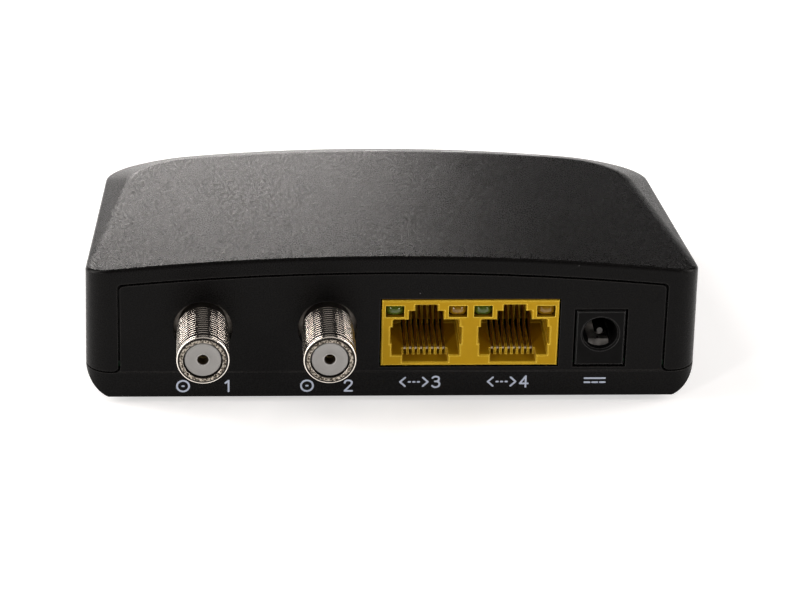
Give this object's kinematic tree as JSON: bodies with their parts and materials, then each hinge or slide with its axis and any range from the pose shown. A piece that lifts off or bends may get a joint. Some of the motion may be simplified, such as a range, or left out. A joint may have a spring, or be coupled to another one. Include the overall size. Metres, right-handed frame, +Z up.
{
  "type": "cable modem",
  "caption": "Small wedge-shaped black cable modem or coax network adapter with threaded coax sockets, a yellow twin network jack and a power jack on its rear panel.",
  "frame": {"origin": "bottom centre of the bounding box, on the plane of the feet", "axes": "+X across to the right seen from the connector side, +Y from the connectors towards the lights, +Z up"},
  "size_m": [0.1116, 0.0818, 0.0292],
  "materials": {
    "case_plastic": "fine sand-blasted texture",
    "foot_rubber": "matt",
    "screw_steel": "zinc plated",
    "nickel": "bright nickel plate",
    "insulator": "smooth, slightly milky",
    "contact_brass": "bright",
    "contact_gold": "gold plated",
    "jack_yellow": "semi-gloss",
    "tin": "tin plated",
    "green_lens": "tinted lens",
    "amber_lens": "tinted lens",
    "jack_black": "satin",
    "pin_nickel": "nickel plated",
    "board": "solder mask",
    "light_guide": "smoky clear",
    "lamp_white": "glossy",
    "chip_black": "moulded",
    "pad_grey": "matt",
    "sink_aluminium": "satin",
    "ferrite": "matt",
    "ceramic": "matt"
  },
  "bodies": {
    "adapter": {"top_cover": "case_plastic", "bottom_tray": "case_plastic", "rubber_feet": "foot_rubber", "case_screws": "screw_steel", "coax_1_shell": "nickel", "coax_2_shell": "nickel", "coax_1_insulator": "insulator", "coax_2_insulator": "insulator", "coax_1_contact": "contact_brass", "coax_2_contact": "contact_brass", "rj45_housing": "jack_yellow", "rj45_tails": "tin", "rj45_green_lamps": "green_lens", "rj45_amber_lamps": "amber_lens", "rj45_lamp_leads": "tin", "dc_jack_housing": "jack_black", "dc_jack_pin": "pin_nickel", "dc_jack_lugs": "tin", "main_board": "board", "status_light_pipe": "light_guide", "status_lamps": "lamp_white", "shield_frame": "tin", "shield_lid": "tin", "processor_chip": "chip_black", "thermal_pad": "pad_grey", "heat_sink": "sink_aluminium", "memory_chip": "chip_black", "flash_chip": "chip_black", "crystal": "tin", "voltage_regulator": "chip_black", "line_transformers": "chip_black", "input_capacitor": "sink_aluminium", "output_capacitor": "sink_aluminium", "power_choke": "ferrite", "ceramic_capacitors": "ceramic"},
    "port_1_springs": {"rj45_1_contacts": "contact_gold"},
    "port_2_springs": {"rj45_2_contacts": "contact_gold"},
    "power_blade": {"dc_jack_blade": "pin_nickel"}
  },
  "joints": [
    {"name": "port_1_springs_press", "type": "hinge", "parent": "adapter", "child": "port_1_springs", "pos_m": [0.00598, -0.02437, 0.00879], "axis": [-1, 0, 0], "range_deg": [0, 14], "stiffness_Nm_per_rad": 0.17},
    {"name": "port_2_springs_press", "type": "hinge", "parent": "adapter", "child": "port_2_springs", "pos_m": [0.02202, -0.02437, 0.00879], "axis": [-1, 0, 0], "range_deg": [0, 14], "stiffness_Nm_per_rad": 0.17},
    {"name": "power_blade_press", "type": "hinge", "parent": "adapter", "child": "power_blade", "pos_m": [0.03785, -0.01627, 0.0094], "axis": [1, 0, 0], "range_deg": [0, 7], "stiffness_Nm_per_rad": 0.17}
  ]
}
